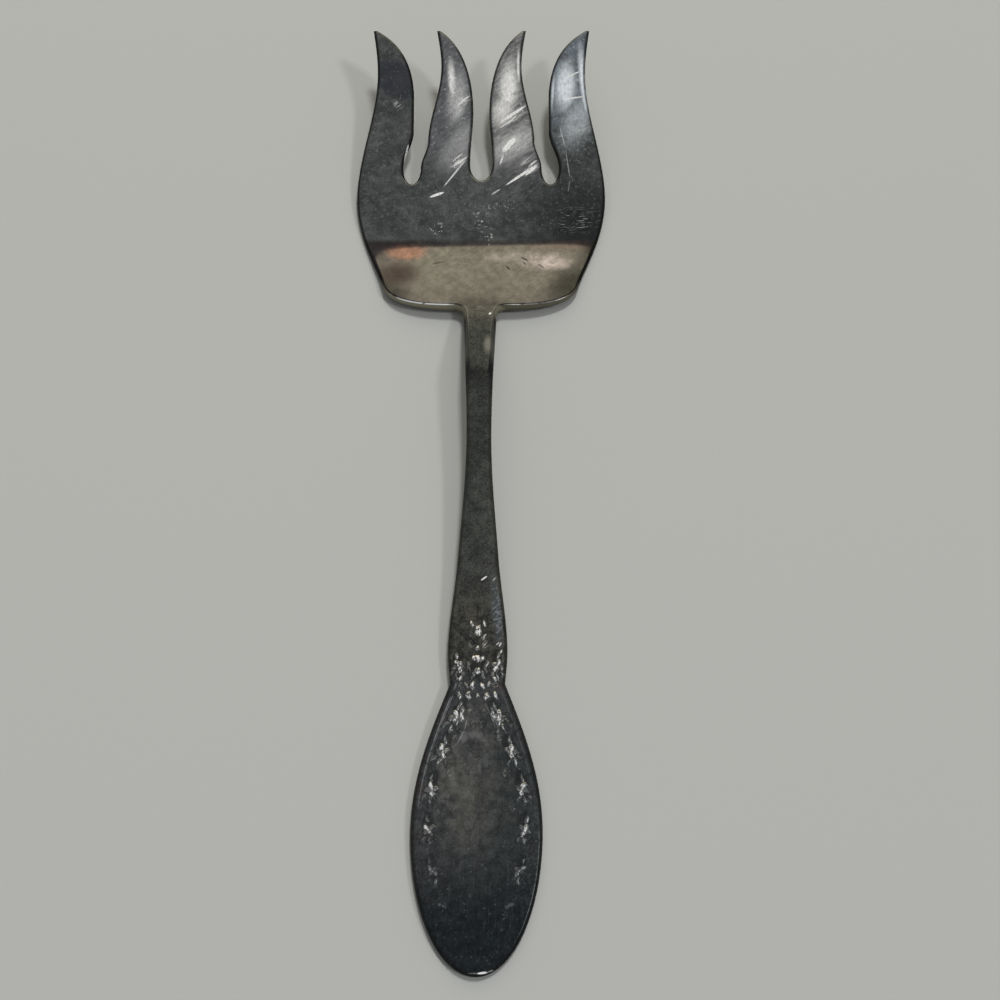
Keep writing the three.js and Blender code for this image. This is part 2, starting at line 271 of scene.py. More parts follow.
# Rows lie closest at the round end, columns closest under the border and at the rim
end_rows = END_Y + (OVAL_Y - END_Y) * (1 - np.cos(np.linspace(0, np.pi / 2, 270)))
handle_rows = np.concatenate([end_rows, np.linspace(OVAL_Y, WAIST_Y, 235)[1:]])
rim_columns = 1 - 0.1 * (1 - np.cos(np.linspace(np.pi / 2, 0, 9)))
face_half = np.concatenate([np.linspace(0, 0.4, 14, False), np.linspace(0.4, 0.9, 50, False), rim_columns])
under_half = np.concatenate([np.linspace(0, 0.9, 5, False), rim_columns])
handle_edge = np.concatenate([
    np.stack([oval_half_width(handle_rows), handle_rows], 1)[::3],
    [(WAIST_HALF_WIDTH, WAIST_Y), (SHOULDER_HALF_WIDTH, SHOULDER_Y)],
])
face_grid = struck_bar(handle_rows, oval_half_width, face_half, handle_edge, handle_lines, 1)
under_grid = struck_bar(handle_rows, oval_half_width, under_half, handle_edge, handle_lines, 0)
waist_ring = np.concatenate([under_grid[-1], face_grid[-1]])[::-1]
handle = metal_piece("handle_oval", [face_grid, under_grid, cap(waist_ring)], [WAIST_Y])


class Shade:
    """One socket of a material's nodes. Sums and products of values on it add Math nodes."""

    def __init__(self, tree, socket=None):
        self.tree = tree
        self.socket = socket

    def node(self, kind, settings, sockets, output=0):
        """Adds a node of this type: first its settings, then the values or links of its sockets."""
        node = self.tree.nodes.new("ShaderNode" + kind)
        for name, value in settings.items():
            setattr(node, name, value)
        for name, value in sockets.items():
            if isinstance(value, Shade):
                self.tree.links.new(value.socket, node.inputs[name])
            else:
                node.inputs[name].default_value = value
        return Shade(self.tree, node.outputs[output])

    def calculate(self, operation, *values):
        """Adds a Math node on values or links."""
        return self.node("Math", {"operation": operation}, dict(enumerate(values)))

    def __add__(self, other):
        return self.calculate("ADD", self, other)

    def __radd__(self, other):
        return self.calculate("ADD", other, self)

    def __sub__(self, other):
        return self.calculate("SUBTRACT", self, other)

    def __rsub__(self, other):
        return self.calculate("SUBTRACT", other, self)

    def __mul__(self, other):
        return self.calculate("MULTIPLY", self, other)

    def __rmul__(self, other):
        return self.calculate("MULTIPLY", other, self)

    def __abs__(self):
        return self.calculate("ABSOLUTE", self)

    def most(self, other):
        """The larger of two values."""
        return self.calculate("MAXIMUM", self, other)

    def ramp(self, low, high):
        """0 at low and 1 at high, eased at both; low may be the larger."""
        sockets = {"Value": self, "From Min": low, "From Max": high}
        return self.node("MapRange", {"interpolation_type": "SMOOTHSTEP"}, sockets)

    def paint(self, under, over):
        """The colour under where this mask is 0, and the colour over where it is 1."""
        return self.node("Mix", {"data_type": "RGBA"}, {0: self, 6: under, 7: over}, 2)

    def scaled(self, factor):
        """A colour made lighter or darker by a value."""
        return self.node("VectorMath", {"operation": "SCALE"}, {"Vector": self, "Scale": factor})

    def part(self, axis):
        """One axis of a place."""
        return self.node("SeparateXYZ", {}, {"Vector": self}, axis)

    def turned(self, x, y, angle, stretch=(1, 1, 1)):
        """This place as seen from (x, y), with its first axis turned by the angle and each axis divided by
        its stretch."""
        sockets = {"Vector": self, "Location": (x, y, 0), "Rotation": (0, 0, angle), "Scale": stretch}
        return self.node("Mapping", {"vector_type": "TEXTURE"}, sockets)

    def clouds(self, size, detail=3.0, stretch=1.0, angle=0.0):
        """Soft noise of 0 to 1 with lumps of this size in mm, drawn out along the angle by the stretch."""
        place = self.turned(0, 0, angle, (size * stretch, size, size))
        sockets = {"Vector": place, "Scale": 1.0, "Detail": detail, "Roughness": 0.6}
        return self.node("TexNoise", {}, sockets)

    def patch(self, x, y, half_length, half_width, angle=0.0):
        """1 in the middle of an ellipse with its length along the angle, 0 on its rim, less outside."""
        local = self.turned(x, y, angle, (half_length, half_width, 1000))
        return 1 - self.node("VectorMath", {"operation": "LENGTH"}, {"Vector": local}, "Value")

    def stroke(self, x0, y0, x1, y1, width):
        """1 along a straight scratch of this width, fading to its sides and to its pointed ends."""
        half_length = math.hypot(x1 - x0, y1 - y0) / 2
        angle = math.atan2(y1 - y0, x1 - x0)
        return self.patch((x0 + x1) / 2, (y0 + y1) / 2, half_length, width / 2, angle).ramp(0, 0.3)

    def strokes(self, scratches):
        """The strongest of several scratches, each with its two ends, its width and its strength."""
        strongest = 0.0
        for x0, y0, x1, y1, width, strength in scratches:
            scratch = self.stroke(x0, y0, x1, y1, width) * strength
            strongest = scratch.most(strongest)
        return strongest

    def patches(self, ellipses):
        """The strongest of several soft ellipses, each with its middle, half length, half width, angle and
        strength."""
        strongest = 0.0
        for x, y, half_length, half_width, angle, strength in ellipses:
            ellipse = self.patch(x, y, half_length, half_width, angle).ramp(0, 0.8) * strength
            strongest = ellipse.most(strongest)
        return strongest


EDGE_TINT = (0.6, 0.6, 0.6, 1)
SCUFF_AND_GLINT_MATTE = 0.8
SCUFF_AND_GLINT_ROUGHNESS = 0.25
BUMP_STRENGTH = 0.5


def start_metal(name):
    """A new material with its place in mm, and the marks that the mesh carries."""
    material = bpy.data.materials.new(name)
    material.use_nodes = True
    first = Shade(material.node_tree)
    metres = first.node("TexCoord", {}, {}, "Object")
    place = metres.node("VectorMath", {"operation": "SCALE"}, {"Vector": metres, "Scale": 1 / MM})
    labels = "edge", "relief", "face"
    marks = [first.node("Attribute", {"attribute_name": label}, {}, "Fac") for label in labels]
    return material, place, marks


def finish_metal(material, colour, scuffs_and_glints, roughness, height, depth):
    """Feeds a metal shader. Scuffs and painted glints are matte, so they scatter the light as bare ground
    metal does.
    """
    shader = material.node_tree.nodes["Principled BSDF"]
    shader.inputs["Specular Tint"].default_value = EDGE_TINT
    links = material.node_tree.links
    links.new(colour.socket, shader.inputs["Base Color"])
    links.new((1 - scuffs_and_glints * SCUFF_AND_GLINT_MATTE).socket, shader.inputs["Metallic"])
    links.new((roughness + scuffs_and_glints * SCUFF_AND_GLINT_ROUGHNESS).socket, shader.inputs["Roughness"])
    sockets = {"Strength": BUMP_STRENGTH, "Distance": depth * MM, "Height": height}
    bump = height.node("Bump", {}, sockets)
    links.new(bump.socket, shader.inputs["Normal"])


FIELD_BROWN = (0.215, 0.212, 0.188, 1)
FIELD_GREY = (0.135, 0.143, 0.140, 1)
BORDER_BLACK = (0.122, 0.129, 0.130, 1)
RED_BROWN = (0.130, 0.096, 0.086, 1)
TEAL_BLACK = (0.080, 0.094, 0.097, 1)
END_TARNISH_AND_SHADE = (0.043, 0.053, 0.058, 1)
DIRT_AND_EDGE_SHADE = (0.022, 0.021, 0.019, 1)
WORN_SILVER_AND_GLINT = (0.86, 0.86, 0.85, 1)
BARE_SILVER_AND_GLINT = (0.93, 0.93, 0.92, 1)

handle_metal, place, (edge, relief, face) = start_metal("handle_tarnish")
along = place.part("Y")
across = place.part("X")
blotches = place.clouds(7.0, 4.0)
mottle = place.clouds(1.8, 5.0)
grain = place.clouds(0.4, 3.0)
lumps = place.clouds(0.65, 2.0)
hairs = place.clouds(0.16, 2.0, 24.0, math.pi / 2).ramp(0.60, 0.72)
specks = place.clouds(0.45, 2.0).ramp(0.64, 0.74)

# Tarnish: blue-black and red-brown on the border, browner in the field, and blackest at the end, there
# partly tarnish and partly painted shade for the dark reflection over the end
field = place.patch(0, FIELD_Y, FIELD_HALF_LENGTH, FIELD_HALF_WIDTH, math.pi / 2).ramp(-0.12, 0.16) * face
browned = (blotches * 0.7 + mottle * 0.3).ramp(0.40, 0.60) * along.ramp(-98, -72)
colour = (blotches.ramp(0.52, 0.66) * 0.6).paint(BORDER_BLACK, RED_BROWN)
colour = field.paint(colour, browned.paint(FIELD_GREY, FIELD_BROWN))
colour = ((blotches * 6 + across).ramp(3.5, 9) * along.ramp(-58, -66) * 0.6).paint(colour, TEAL_BLACK)
colour = along.ramp(-80, -100).paint(colour, END_TARNISH_AND_SHADE)
colour = colour.scaled(0.52 + grain.ramp(0.25, 0.75) * 0.45 + mottle.ramp(0.3, 0.7) * 0.5)

# Wear: hairlines and specks, a wispy haze on the field, and scratches where the arch line was
colour = (hairs * 0.10 + specks * mottle.ramp(0.42, 0.58) * 0.24).paint(colour, WORN_SILVER_AND_GLINT)
wisps = place.clouds(2.6, 6.0).ramp(0.48, 0.62) * field * along.ramp(-84, -66) * across.ramp(6, -2)
worn_border = lumps.ramp(0.48, 0.64) * along.ramp(-104, -88) * (1 - field) * face
arch_strokes = face * place.strokes([
    (-1.2, -57.6, -2.0, -60.2, 0.30, 0.25), (-2.0, -60.2, -2.5, -62.4, 0.34, 0.42),
    (-2.5, -62.4, -4.0, -65.2, 0.34, 0.42), (1.5, -56.8, 2.8, -59.7, 0.30, 0.22),
    (2.8, -59.7, 3.8, -62.2, 0.30, 0.22), (3.8, -62.2, 4.6, -65.2, 0.30, 0.18),
])
colour = (wisps * 0.22 + worn_border * 0.06 + arch_strokes).paint(colour, WORN_SILVER_AND_GLINT)

# Dirt in the hollows of the border. Round the edge a dark band, partly dirt and partly painted shade for
# the rounding's dark reflection. Worn bare silver on the high places, painted bright as glints, and a
# painted glint on the end
hollows = relief.ramp(0, 0.03) * relief.ramp(0.12, 0.06) * along.ramp(-94, -84)
colour = (hollows * (0.2 + mottle * 0.5)).paint(colour, DIRT_AND_EDGE_SHADE)
veins = relief.ramp(0.06, 0.11) * mottle.ramp(0.35, 0.55)
colour = (veins * 0.22).paint(colour, WORN_SILVER_AND_GLINT)
worn_tops_and_glints = relief.ramp(0.14, 0.21) * lumps.ramp(0.42, 0.54)
colour = worn_tops_and_glints.paint(colour, WORN_SILVER_AND_GLINT)
# The rim line is worn pale, and brighter on the left as a painted highlight
rim_line = abs(edge - RIM_LINE_INSET).ramp(0.18, 0.04) * along.ramp(-84, -66)
rim_line = rim_line * mottle.ramp(0.35, 0.5) * face
colour = (rim_line * (0.12 + across.ramp(2, -3) * 0.4)).paint(colour, WORN_SILVER_AND_GLINT)
glint = face * place.strokes([
    (-1.6, -107.35, 0.6, -107.4, 0.2, 0.2), (0.2, -107.4, 2.4, -107.15, 0.45, 1.0),
    (2.2, -107.15, 3.4, -106.75, 0.3, 0.4),
])
colour = (edge.ramp(1.25, 0.3) * 0.72).paint(colour, DIRT_AND_EDGE_SHADE)
colour = glint.paint(colour, BARE_SILVER_AND_GLINT)
scuffs_and_glints = (worn_tops_and_glints * 0.65).most(glint)
roughness = 0.14 + blotches * 0.10 + grain * 0.05
finish_metal(handle_metal, colour, scuffs_and_glints, roughness, grain, 0.02)
handle.data.materials.append(handle_metal)
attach(handle, "root")
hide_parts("handle")

# Stem
# The slender bar between the handle and the head, of the same strip, thickest where it is arched. The die's
# border ends on it in a small palmette, and two hollow fillets spread it along the heel of the head.

HEEL_Y = 34.8
STEM_NARROW_Y = -0.2
STEM_NARROW_HALF = 2.7
TAPER_HALF_WIDTH = 4.3
NECK_HALF_WIDTH = 3.8
NECK_FILLET = 2.0
CREST_Y = 14.8
CREST_TOP = 8.8
NECK_Y = 26.8
NECK_TOP = 6.1
HEEL_TOP = 3.6
BLADE_LOW_Y = 54.5
BLADE_LOW_TOP = 1.45
STEM_EDGE = 1.3
HEEL_EDGE = 0.75
PALMETTE_END_Y = -33.0

stem_top = smooth_curve([
    (HANDLE_REST_Y, HANDLE_THICKNESS), (WAIST_Y, WAIST_TOP), (TAPER_Y, TAPER_TOP), (CREST_Y, CREST_TOP),
    (NECK_Y, NECK_TOP), (HEEL_Y, HEEL_TOP), (BLADE_LOW_Y, BLADE_LOW_TOP),
])
stem_thickness = smooth_curve([
    (HANDLE_REST_Y, HANDLE_THICKNESS), (WAIST_Y, WAIST_THICKNESS),
    (TAPER_Y, STEM_THICKNESS), (HEEL_Y, STEM_THICKNESS),
])
stem_crown = smooth_curve([
    (WAIST_Y, WAIST_CROWN), (TAPER_Y, 0.35), (CREST_Y, 0.4), (NECK_Y, 0.25), (HEEL_Y, 0),
])
stem_edge_reach = smooth_curve([
    (WAIST_Y, HANDLE_EDGE), (SHOULDER_Y, STEM_EDGE), (NECK_Y, STEM_EDGE), (HEEL_Y, HEEL_EDGE),
])
stem_lines = stem_top, stem_thickness, stem_crown, stem_edge_reach
bar_half_width = smooth_curve([
    (WAIST_Y, WAIST_HALF_WIDTH), (SHOULDER_Y, SHOULDER_HALF_WIDTH), (TAPER_Y, TAPER_HALF_WIDTH),
    (STEM_NARROW_Y, STEM_NARROW_HALF), (HEEL_Y - NECK_FILLET, NECK_HALF_WIDTH),
])


def stem_half_width(y):
    """The bar's own width, and over the last stretch a quarter circle that spreads it along the heel."""
    into_fillet = np.clip((y - HEEL_Y + NECK_FILLET) / NECK_FILLET, 0, 1)
    spread = NECK_FILLET * (1 - np.sqrt(1 - into_fillet ** 2))
    return bar_half_width(np.minimum(y, HEEL_Y - NECK_FILLET)) + spread


heel_flat_x = NECK_HALF_WIDTH + NECK_FILLET
fillet_rows = HEEL_Y - NECK_FILLET * (1 - np.sin(np.linspace(0, np.pi / 2, 26)))
stem_rows = np.concatenate([
    np.linspace(WAIST_Y, PALMETTE_END_Y, 155, False),
    np.linspace(PALMETTE_END_Y, HEEL_Y - NECK_FILLET, 100, False),
    fillet_rows,
])

# The bar's edge, and a little of the handle's and of the heel's that it runs into
stem_edge = np.concatenate([
    [(oval_half_width(WAIST_Y - 3.0), WAIST_Y - 3.0)],
    np.stack([stem_half_width(stem_rows), stem_rows], 1)[::2],
    [(heel_flat_x, HEEL_Y), (15, HEEL_Y + 0.4)],
])
face_half = np.sin(np.linspace(0, np.pi / 2, 60))
under_half = np.sin(np.linspace(0, np.pi / 2, 14))
face_grid = struck_bar(stem_rows, stem_half_width, face_half, stem_edge, stem_lines, 1)
under_grid = struck_bar(stem_rows, stem_half_width, under_half, stem_edge, stem_lines, 0)
waist_ring = np.concatenate([face_grid[0], under_grid[0]])
heel_ring = np.concatenate([under_grid[-1], face_grid[-1]])[::-1]
stem_grids = [face_grid, under_grid, cap(waist_ring), cap(heel_ring)]
stem = metal_piece("stem_bar", stem_grids, [WAIST_Y, HEEL_Y])

STEM_TARNISH = (0.162, 0.170, 0.150, 1)
STEM_DARK = (0.108, 0.115, 0.103, 1)
STEM_BROWN = (0.165, 0.157, 0.130, 1)
NECK_DARK = (0.033, 0.037, 0.038, 1)
NECK_BROWN = (0.076, 0.077, 0.073, 1)
NECK_EDGE = (0.150, 0.150, 0.135, 1)
WALL_OLIVE_REFLECTION = (0.260, 0.245, 0.175, 1)
BLUE_GREY = (0.52, 0.57, 0.62, 1)

stem_metal, place, (edge, relief, face) = start_metal("stem_tarnish")
along = place.part("Y")
blotches = place.clouds(6.0, 4.0)
mottle = place.clouds(1.6, 5.0)
grain = place.clouds(0.4, 3.0)
lumps = place.clouds(0.65, 2.0)
hairs = place.clouds(0.14, 2.0, 22.0, 1.3).ramp(0.60, 0.72)
cross_hairs = place.clouds(0.55, 5.0, 2.0, 0.6).ramp(0.46, 0.66)

# Tarnish: brown at the shoulder, black at the waist. Over the neck the colour is near black and browner
# towards the heel: partly tarnish, partly painted shade that dims the window's bright reflection there and
# fades it towards the crest
colour = blotches.ramp(0.38, 0.62).paint(STEM_DARK, STEM_TARNISH)
colour = along.ramp(-28, -42).paint(colour, mottle.ramp(0.4, 0.62).paint(STEM_DARK, STEM_BROWN))
colour = along.ramp(-46, -54).paint(colour, BORDER_BLACK)
colour = along.ramp(5, 18).paint(colour, along.ramp(25.5, 36).paint(NECK_DARK, NECK_BROWN))
colour = colour.scaled(0.45 + grain.ramp(0.25, 0.75) * 0.65 + mottle.ramp(0.3, 0.7) * 0.45)

# Wear: a rubbed bluish flank, hairlines, dirt in the hollows and worn bare silver on the high places,
# painted bright as glints
rubbed = place.patch(3.9, -38.5, 10.0, 1.4, math.pi / 2 + 0.085).ramp(0, 0.7) * face
colour = (rubbed * (0.15 + cross_hairs * 0.85)).paint(colour, BLUE_GREY)
colour = (hairs * 0.08).paint(colour, WORN_SILVER_AND_GLINT)
colour = (relief.ramp(0, 0.03) * relief.ramp(0.12, 0.06) * (0.2 + mottle * 0.5)).paint(colour, DIRT_AND_EDGE_SHADE)
colour = (relief.ramp(0.05, 0.11) * mottle.ramp(0.35, 0.55) * 0.28).paint(colour, WORN_SILVER_AND_GLINT)
worn_tops_and_glints = relief.ramp(0.14, 0.21) * lumps.ramp(0.42, 0.54)
colour = worn_tops_and_glints.paint(colour, WORN_SILVER_AND_GLINT)

# The edges are dark, partly with dirt and partly with painted shade for the rounding's dark reflection, but
# pale at the neck. The fillets are painted olive and matte, a painted reflection of the lit table
colour = (edge.ramp(0.9, 0.2) * along.ramp(24, 14) * 0.7).paint(colour, DIRT_AND_EDGE_SHADE)
colour = (edge.ramp(1.3, 0.5) * along.ramp(16, 21)).paint(colour, NECK_EDGE)
fillet = edge.ramp(0.7, 0.3) * along.ramp(HEEL_Y - 5, HEEL_Y - 2)
colour = fillet.paint(colour, WALL_OLIVE_REFLECTION)
# Scuffs of bare metal, and a painted highlight dot on the neck
scuffs_and_glints = face * place.strokes([
    (0.5, -31.9, 2.0, -30.8, 0.38, 0.9), (3.0, -31.9, 3.7, -31.1, 0.3, 0.5),
    (4.3, -45.6, 4.9, -44.6, 0.4, 0.7), (3.7, -45.3, 4.4, -44.6, 0.3, 0.6),
    (4.6, -47.0, 5.0, -46.1, 0.4, 0.7), (2.1, 32.0, 2.5, 32.8, 0.55, 0.8),
    (0.6, -44.0, 1.9, -42.9, 0.3, 0.35), (2.0, -44.6, 1.0, -45.6, 0.3, 0.3),
])
# A soft painted highlight on the neck's right flank
scuffs_and_glints = scuffs_and_glints.most(place.patches([(1.9, 22.6, 3.6, 1.4, 1.54, 0.10)]) * face)
colour = scuffs_and_glints.paint(colour, BARE_SILVER_AND_GLINT)
scuffs_and_glints = (worn_tops_and_glints * 0.65).most(scuffs_and_glints).most(fillet * 0.6)
roughness = 0.14 + blotches * 0.08 + grain * 0.05 + along.ramp(8, 18) * 0.08
finish_metal(stem_metal, colour, scuffs_and_glints, roughness, grain, 0.014)
stem.data.materials.append(stem_metal)
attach(stem, "root")
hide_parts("stem")

# Head
# A broad blade with four flame-shaped tines, cut from the thin end of the strip and bent: down from the
# heel, level where it rests, then up to the tips. All its edges are rounded and polished.

ROOT_Y = 69.5
TIP_Y = 108.0
HEEL_CORNER_RISE = 6.2
CORNER_Y = HEEL_Y + HEEL_CORNER_RISE
WIDEST_Y = ROOT_Y - 3.0
SIDE_ROUNDING = 10.5
HEEL_HALF_WIDTH = 22.8
HEEL_CORNER_INSET = 1.8
HEEL_RAMP = 18.0
HEEL_DROP = 0.5
HEEL_DROP_START, HEEL_DROP_SPAN = 5.0, 17.0
HEEL_DROP_LENGTH, HEEL_DROP_REACH = 20.0, 10.0
TINE_CROWN = 0.22
TINE_CROWN_REACH = 3.8
TINE_CROWN_START, TINE_CROWN_LENGTH = ROOT_Y - 6.0, 12.0
HEAD_HALF_WIDTH = 29.9
TINE_MIDDLE_Y = (ROOT_Y + TIP_Y) / 2
TINE_MIDDLE_TOP = 7.2
TIP_TOP = 12.8
BLADE_THICKNESS = 1.6
THINNING_Y = 60.8
TIP_THICKNESS = 1.0
TINE_EDGE = 0.8
TIP_WIDTH = 0.7
TIP_LEAN = 1.1
FLAME_SWEEP = 3.2
INNER_BELLY_X, INNER_BELLY_Y = 1.95, TIP_Y - 20.0
INNER_HOLLOW_X, INNER_HOLLOW_Y = 9.85, TIP_Y - 8.7
OUTER_BELLY_X, OUTER_BELLY_Y = 16.45, TIP_Y - 17.0
OUTER_HOLLOW_X, OUTER_HOLLOW_Y = 25.45, TIP_Y - 10.5
POCKET_X, POCKET_HALF_WIDTH, POCKET_DEPTH = 16.75, 2.1, 4.4
MIDDLE_FLOOR_Y, MIDDLE_POCKET_HALF = ROOT_Y + 1.0, 2.7
INNER_BARB_X, INNER_BARB_Y = POCKET_X - POCKET_HALF_WIDTH - 1.7, ROOT_Y + 11.0
OUTER_BARB_Y = ROOT_Y + 13.4

head_top = smooth_curve([
    (NECK_Y, NECK_TOP), (HEEL_Y, HEEL_TOP), (BLADE_LOW_Y, BLADE_LOW_TOP), (TINE_MIDDLE_Y, TINE_MIDDLE_TOP),
    (TIP_Y, TIP_TOP),
])
sheet_thickness = smooth_curve([
    (HEEL_Y, BLADE_THICKNESS), (THINNING_Y, BLADE_THICKNESS), (TIP_Y, TIP_THICKNESS),
])
head_edge_reach = smooth_curve([(HEEL_Y, HEEL_EDGE), (HEEL_Y + 12, TINE_EDGE), (TIP_Y, TINE_EDGE)])


def bezier(*corners):
    """Points of a Bezier curve: its corners weighted by the terms of ((1 - t) + t) raised to its degree."""
    t = np.linspace(0, 1, 40)[:, None]
    degree = len(corners) - 1
    weights = [math.comb(degree, k) * (1 - t) ** (degree - k) * t ** k for k in range(degree + 1)]
    return sum(weight * np.array(corner, float) for weight, corner in zip(weights, corners))


def sweep(x0, y0, x1, y1):
    """A stretch of outline whose two ends run straight along the fork."""
    third = (y1 - y0) / 3
    return bezier((x0, y0), (x0, y0 + third), (x1, y1 - third), (x1, y1))


def outer_flame(hollow_x, hollow_y):
    """Outer side of a flame's upper part, from its hollow to the leaning tip."""
    third = (TIP_Y - hollow_y) / 3
    tip_x = hollow_x + TIP_LEAN
    below_tip = (tip_x - TIP_LEAN / 2, TIP_Y - third)
    return bezier((hollow_x, hollow_y), (hollow_x, hollow_y + third), below_tip, (tip_x, TIP_Y))


def inner_flame(belly_x, belly_y, hollow_x):
    """Inner side of a flame's upper part, from its belly to the tip."""
    tip_x = hollow_x + TIP_LEAN - TIP_WIDTH
    middle_y = (TIP_Y + belly_y) / 2
    below_tip = (belly_x + FLAME_SWEEP, TIP_Y - FLAME_SWEEP)
    return bezier((belly_x, belly_y), (belly_x, middle_y), below_tip, (tip_x, TIP_Y))


def pocket_floor(x, y, half_width):
    """Quarter ellipse from the lowest place of a slot up to its side."""
    angle = np.linspace(0, np.pi / 2, 40)
    return np.stack([x + half_width * np.sin(angle), y + POCKET_DEPTH * (1 - np.cos(angle))], 1)


pocket_y = ROOT_Y + POCKET_DEPTH
heel_line = bezier(
    (heel_flat_x, HEEL_Y), (HEEL_HALF_WIDTH - HEEL_CORNER_INSET, HEEL_Y), (HEEL_HALF_WIDTH, CORNER_Y),
)
outer_side = np.concatenate([
    bezier((HEEL_HALF_WIDTH, CORNER_Y), (HEEL_HALF_WIDTH + HEEL_CORNER_INSET, CORNER_Y + HEEL_CORNER_RISE),
           (HEAD_HALF_WIDTH, WIDEST_Y - SIDE_ROUNDING), (HEAD_HALF_WIDTH, WIDEST_Y)),
    sweep(HEAD_HALF_WIDTH, WIDEST_Y, OUTER_HOLLOW_X, OUTER_HOLLOW_Y)[1:],
    outer_flame(OUTER_HOLLOW_X, OUTER_HOLLOW_Y)[1:],
])
outer_slot_side = np.concatenate([
    pocket_floor(POCKET_X, ROOT_Y, POCKET_HALF_WIDTH),
    sweep(POCKET_X + POCKET_HALF_WIDTH, pocket_y, OUTER_BELLY_X, OUTER_BARB_Y)[1:],
    inner_flame(OUTER_BELLY_X, OUTER_BELLY_Y, OUTER_HOLLOW_X),
])
inner_slot_side = np.concatenate([
    pocket_floor(POCKET_X, ROOT_Y, -POCKET_HALF_WIDTH),
    sweep(POCKET_X - POCKET_HALF_WIDTH, pocket_y, INNER_BARB_X, INNER_BARB_Y)[1:],
    sweep(INNER_BARB_X, INNER_BARB_Y, INNER_HOLLOW_X, INNER_HOLLOW_Y)[1:],
    outer_flame(INNER_HOLLOW_X, INNER_HOLLOW_Y)[1:],
])
middle_slot_side = np.concatenate([
    pocket_floor(0, MIDDLE_FLOOR_Y, MIDDLE_POCKET_HALF),
    sweep(MIDDLE_POCKET_HALF, MIDDLE_FLOOR_Y + POCKET_DEPTH, INNER_BELLY_X, INNER_BELLY_Y)[1:],
    inner_flame(INNER_BELLY_X, INNER_BELLY_Y, INNER_HOLLOW_X)[1:],
])
neck_rows = np.linspace(HEEL_Y - 9, HEEL_Y - NECK_FILLET, 6, False)
neck_side = np.stack([stem_half_width(neck_rows), neck_rows], 1)
fillet_side = np.stack([stem_half_width(fillet_rows), fillet_rows], 1)
head_edges = [
    np.concatenate([neck_side, fillet_side, heel_line[1:], outer_side[1:], outer_slot_side[::-1]]),
    np.concatenate([inner_slot_side, middle_slot_side[::-1]]),
]


def along_line(line, shares):
    """Points at these shares of a line's length."""
    lengths = np.concatenate([[0], np.cumsum(np.hypot(*np.diff(line, axis=0).T))])
    return np.stack([np.interp(shares * lengths[-1], lengths, axis) for axis in line.T], 1)


def crowded_ends(count, pull):
    """Shares from 0 to 1 that lie closer together near both ends."""
    s = np.linspace(0, 1, count)
    return s - pull * np.sin(2 * np.pi * s) / (2 * np.pi)


def between(left, right, shares):
    """Rows of points at these shares of the way from the left line to the right line."""
    return left[:, None] + (right - left)[:, None] * shares[None, :, None]


BLADE_ROWS, TINE_ROWS, INNER_COLUMNS, OUTER_COLUMNS, NECK_COLUMNS = 104, 116, 48, 40, 24
inner_shares = crowded_ends(INNER_COLUMNS, 0.8)
outer_shares = crowded_ends(OUTER_COLUMNS, 0.8)
tine_shares = np.linspace(0, 1, TINE_ROWS)
above_root = outer_side[:, 1] >= ROOT_Y
root_corner = [(np.interp(ROOT_Y, outer_side[:, 1], outer_side[:, 0]), ROOT_Y)]
tine_side = np.concatenate([root_corner, outer_side[above_root]])
blade_side = np.concatenate([outer_side[~above_root], root_corner])
inner_tine = between(
    along_line(middle_slot_side, tine_shares), along_line(inner_slot_side, tine_shares), inner_shares,
)
outer_tine = between(
    along_line(outer_slot_side, tine_shares), along_line(tine_side, tine_shares), outer_shares,
)

# The blade's plan is a patch between four lines, the heel, the tines' roots, the middle and the outer side:
# the blend lengthwise plus the blend crosswise, less the blend of the four corners
root_line = np.concatenate([inner_tine[0], outer_tine[0, 1:]])
neck_line = np.linspace((0, HEEL_Y), (heel_flat_x, HEEL_Y), NECK_COLUMNS)
heel_shares = np.linspace(0, 1, len(root_line) - NECK_COLUMNS + 1)
heel_shares += 0.8 * heel_shares * (1 - heel_shares)
near_line = np.concatenate([neck_line, along_line(heel_line, heel_shares)[1:]])
v = crowded_ends(BLADE_ROWS, 0.86)
middle_line = np.stack([np.zeros(BLADE_ROWS), HEEL_Y + (MIDDLE_FLOOR_Y - HEEL_Y) * v], 1)
side_line = along_line(blade_side, v)
u = (root_line[:, 0] / root_line[-1, 0])[None, :, None]
v = v[:, None, None]
lengthwise = (1 - v) * near_line + v * root_line
crosswise = (1 - u) * middle_line[:, None] + u * side_line[:, None]
near_corners = (1 - u) * near_line[0] + u * near_line[-1]
root_corners = (1 - u) * root_line[0] + u * root_line[-1]
blade = lengthwise + crosswise - ((1 - v) * near_corners + v * root_corners)
OTHER_SIDE = np.array([-1, 1, 1, 1, 1, 1])


def eased(share):
    """0 below 0, 1 above 1 and a smooth step between."""
    share = np.clip(share, 0, 1)
    return share * share * (3 - 2 * share)


